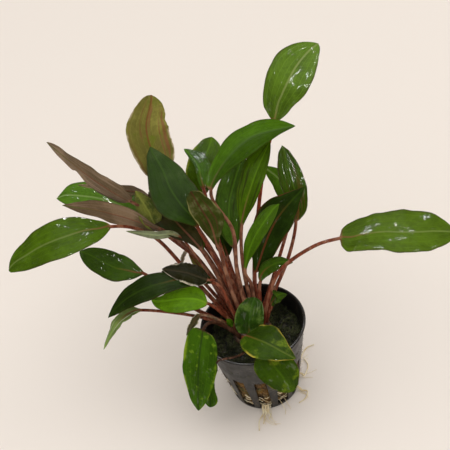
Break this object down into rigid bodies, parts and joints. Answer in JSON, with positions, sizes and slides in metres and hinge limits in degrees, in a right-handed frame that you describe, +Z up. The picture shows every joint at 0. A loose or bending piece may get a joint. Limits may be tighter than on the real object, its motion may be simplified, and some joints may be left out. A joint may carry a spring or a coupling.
{
  "type": "potted cryptocoryne",
  "caption": "Bushy aquarium plant with stalked lance-shaped leaves, green above and purple-brown below, in a small slotted net pot packed with mineral wool.",
  "frame": {"origin": "centre of the pot's foot, on the surface it stands on", "axes": "+Z up along the pot's axis, -Y towards the front of the plant, +X to the right"},
  "size_m": [0.2217, 0.1311, 0.1568],
  "materials": {
    "black_plastic": "slightly scuffed black moulded plastic",
    "rockwool": "wet mineral wool grown over with dark moss",
    "crown": "rough brown rootstock",
    "green_leaf": "glossy wet green leaf with reddish stalk",
    "purple_leaf": "purple-brown leaf underside",
    "old_leaf": "ageing olive and straw leaf",
    "dry_leaf": "dry papery leaf",
    "root": "pale fine roots"
  },
  "bodies": {
    "root": {"crown": "crown", "dry_scrap": "dry_leaf", "leaf_back_arching": "green_leaf", "leaf_back_blue_dark": "green_leaf", "leaf_back_dark_broad": "green_leaf", "leaf_back_dark_under": "green_leaf", "leaf_back_folded_tall": "green_leaf", "leaf_back_light_round": "green_leaf", "leaf_back_old_twisted": "old_leaf", "leaf_back_small_folded": "green_leaf", "leaf_centre_purple": "purple_leaf", "leaf_far_left": "green_leaf", "leaf_front_centre_spoon": "green_leaf", "leaf_front_left_behind": "green_leaf", "leaf_front_left_hanging": "green_leaf", "leaf_front_over_rim": "green_leaf", "leaf_front_yellow_edged": "green_leaf", "leaf_left_bright_low": "green_leaf", "leaf_left_dark_broad": "green_leaf", "leaf_left_green_behind": "green_leaf", "leaf_left_middle": "green_leaf", "leaf_left_purple_high": "purple_leaf", "leaf_left_purple_low": "purple_leaf", "leaf_left_purple_strip": "purple_leaf", "leaf_left_torn": "green_leaf", "leaf_left_withered": "old_leaf", "leaf_right_dark": "green_leaf", "leaf_right_in_pot": "green_leaf", "leaf_right_light_front": "green_leaf", "leaf_right_long": "green_leaf", "leaf_right_narrow_behind": "green_leaf", "leaf_right_small_low": "green_leaf", "leaf_right_striped": "green_leaf", "leaf_top_right": "green_leaf", "pot": "black_plastic", "rockwool": "rockwool", "root_front_left": "root", "root_front_middle": "root", "root_front_right": "root", "root_right_loop": "root", "root_right_near": "root", "root_right_far": "root"}
  },
  "joints": []
}
